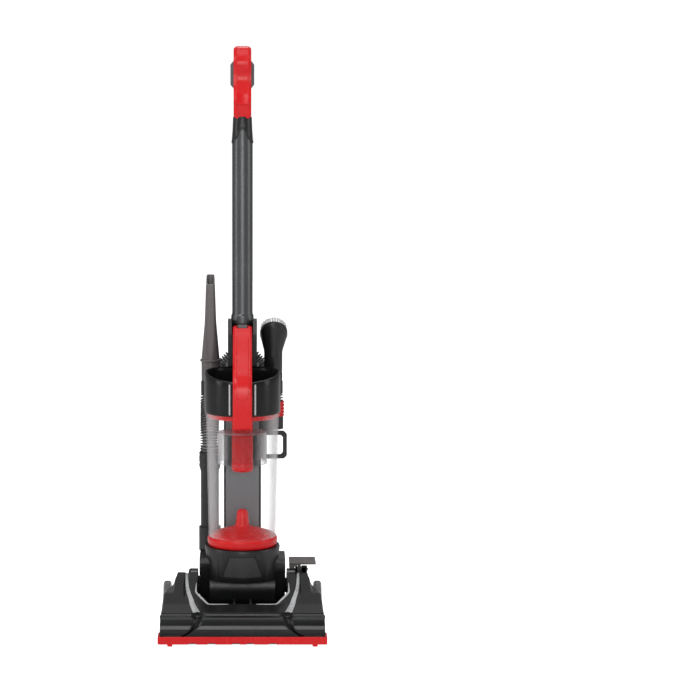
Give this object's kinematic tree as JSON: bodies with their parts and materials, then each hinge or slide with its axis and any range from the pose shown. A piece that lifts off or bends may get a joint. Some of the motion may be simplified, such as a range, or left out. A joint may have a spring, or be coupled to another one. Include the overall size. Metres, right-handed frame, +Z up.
{
  "type": "upright vacuum cleaner",
  "caption": "Compact bagless upright vacuum cleaner with a floor head, reclining motor body, lift-out clear dust bin, hose, wand, stored tools and a loop handle.",
  "frame": {"origin": "on the floor, under the middle of the cleaner's overall width and depth, upright and locked", "axes": "+X to the viewer's right, the front of the floor head faces -Y, +Z up"},
  "size_m": [0.305, 0.341, 1.081],
  "materials": {
    "black_gloss": "high gloss black moulding",
    "black_satin": "satin black moulding",
    "red_gloss": "bright red gloss moulding",
    "silver_trim": "silver lacquered plastic",
    "grey_plastic": "satin mid grey moulding",
    "warm_grey": "satin warm grey moulding",
    "clear_plastic": "clear polycarbonate",
    "tube_paint": "dark grey gloss paint on steel tube",
    "rubber": "black rubber",
    "tyre": "soft black tread",
    "wheel_grey": "light grey moulding",
    "steel": "bright steel",
    "alloy": "turned alloy",
    "rotor_iron": "laminated core with copper winding",
    "fan_plastic": "natural moulding",
    "foam": "open cell foam",
    "hose_plastic": "ribbed flexible hose",
    "wood": "turned hardwood",
    "black_bristle": "stiff nylon tufts",
    "white_bristle": "white nylon tufts",
    "bearing_plastic": "dark bearing plastic"
  },
  "bodies": {
    "foot": {"foot_base": "black_satin", "foot_hood": "black_gloss", "hood_trims": "silver_trim", "guard_strip": "red_gloss", "sole_plate": "black_satin", "foot_duct": "black_satin", "brush_bearings": "bearing_plastic", "drive_belt": "rubber", "wheel_axles": "steel", "pedal_pin": "steel", "pedal_spring": "steel", "trunnion_seal": "rubber", "foot_screws": "steel"},
    "roller": {"brush_roll": "wood", "roll_bristles": "black_bristle"},
    "wheel_l": {"wheel_left": "wheel_grey", "tyre_left": "tyre"},
    "wheel_r": {"wheel_right": "wheel_grey", "tyre_right": "tyre"},
    "pedal": {"recline_pedal": "warm_grey"},
    "upright": {"motor_housing": "black_satin", "motor_can": "steel", "motor_mounts": "rubber", "post_filter": "foam", "spine_frame": "grey_plastic", "rear_cover": "black_satin", "wand_port": "black_satin", "inlet_elbow": "black_satin", "hose_cuff": "red_gloss", "hose": "hose_plastic", "hose_rest": "black_satin", "cord_hook_lower": "black_satin", "cord_gland": "black_satin", "tool_pegs": "black_satin", "neck_bracket": "black_satin", "handle_tube": "tube_paint", "grip_sleeve": "black_satin", "grip_handle": "red_gloss", "body_screws": "steel"},
    "rotor": {"motor_rotor": "rotor_iron", "fan_impeller": "fan_plastic", "drive_pulley": "alloy"},
    "filter_cover": {"filter_door": "grey_plastic"},
    "bin": {"bin_cup": "clear_plastic", "bin_lid": "black_gloss", "carry_handle": "red_gloss", "separator_screen": "red_gloss", "separator_shroud": "clear_plastic", "filter_tray": "red_gloss", "foam_filter": "foam", "bin_door": "red_gloss"},
    "latch": {"latch_button": "grey_plastic"},
    "crevice": {"crevice_tool": "warm_grey"},
    "dust_brush": {"brush_pipe": "black_satin", "brush_tufts": "white_bristle"},
    "hose_wand": {"wand": "black_satin"},
    "cord_hook": {"cord_hook_upper": "grey_plastic"},
    "switch": {"power_switch": "black_satin"}
  },
  "joints": [
    {"name": "recline", "type": "hinge", "parent": "foot", "child": "upright", "pos_m": [0, 0.0645, 0.058], "axis": [-1, 0, 0], "range_deg": [0, 70]},
    {"name": "rotor_spin", "type": "hinge", "parent": "upright", "child": "rotor", "pos_m": [0, 0.0645, 0.058], "axis": [1, 0, 0], "continuous": true},
    {"name": "roller_spin", "type": "hinge", "parent": "foot", "child": "roller", "pos_m": [0, -0.1255, 0.026], "axis": [1, 0, 0], "continuous": true},
    {"name": "wheel_l_roll", "type": "hinge", "parent": "foot", "child": "wheel_l", "pos_m": [-0.145, 0.1005, 0.029], "axis": [1, 0, 0], "continuous": true},
    {"name": "wheel_r_roll", "type": "hinge", "parent": "foot", "child": "wheel_r", "pos_m": [0.145, 0.1005, 0.029], "axis": [1, 0, 0], "continuous": true},
    {"name": "pedal_press", "type": "hinge", "parent": "foot", "child": "pedal", "pos_m": [0.109, 0.0775, 0.086], "axis": [-1, 0, 0], "range_deg": [0, 12], "stiffness_Nm_per_rad": 1, "springref_deg": -8.59},
    {"name": "filter_cover_pull", "type": "slide", "parent": "upright", "child": "filter_cover", "axis": [0, -1, 0], "range_m": [0, 0.03]},
    {"name": "bin_slide", "type": "slide", "parent": "upright", "child": "bin", "axis": [0, -1, 0], "range_m": [0, 0.2]},
    {"name": "latch_press", "type": "slide", "parent": "bin", "child": "latch", "axis": [0, 0, -1], "range_m": [0, 0.004], "stiffness_N_per_m": 400, "springref_m": -0.003},
    {"name": "crevice_lift", "type": "slide", "parent": "upright", "child": "crevice", "axis": [0, 0, 1], "range_m": [0, 0.12]},
    {"name": "dust_brush_lift", "type": "slide", "parent": "upright", "child": "dust_brush", "axis": [0, 0, 1], "range_m": [0, 0.12]},
    {"name": "wand_lift", "type": "slide", "parent": "upright", "child": "hose_wand", "axis": [0, 0, 1], "range_m": [0, 0.04], "deforming": ["hose"]},
    {"name": "cord_hook_turn", "type": "hinge", "parent": "upright", "child": "cord_hook", "pos_m": [0, 0.1385, 1.029], "axis": [0, 1, 0], "range_deg": [0, 180]},
    {"name": "switch_rock", "type": "hinge", "parent": "upright", "child": "switch", "pos_m": [0, 0.13, 0.251], "axis": [1, 0, 0], "range_deg": [0, 10]}
  ],
  "couplings": [
    {"joint": "roller_spin", "follows": "rotor_spin", "ratio": 0.5385}
  ]
}
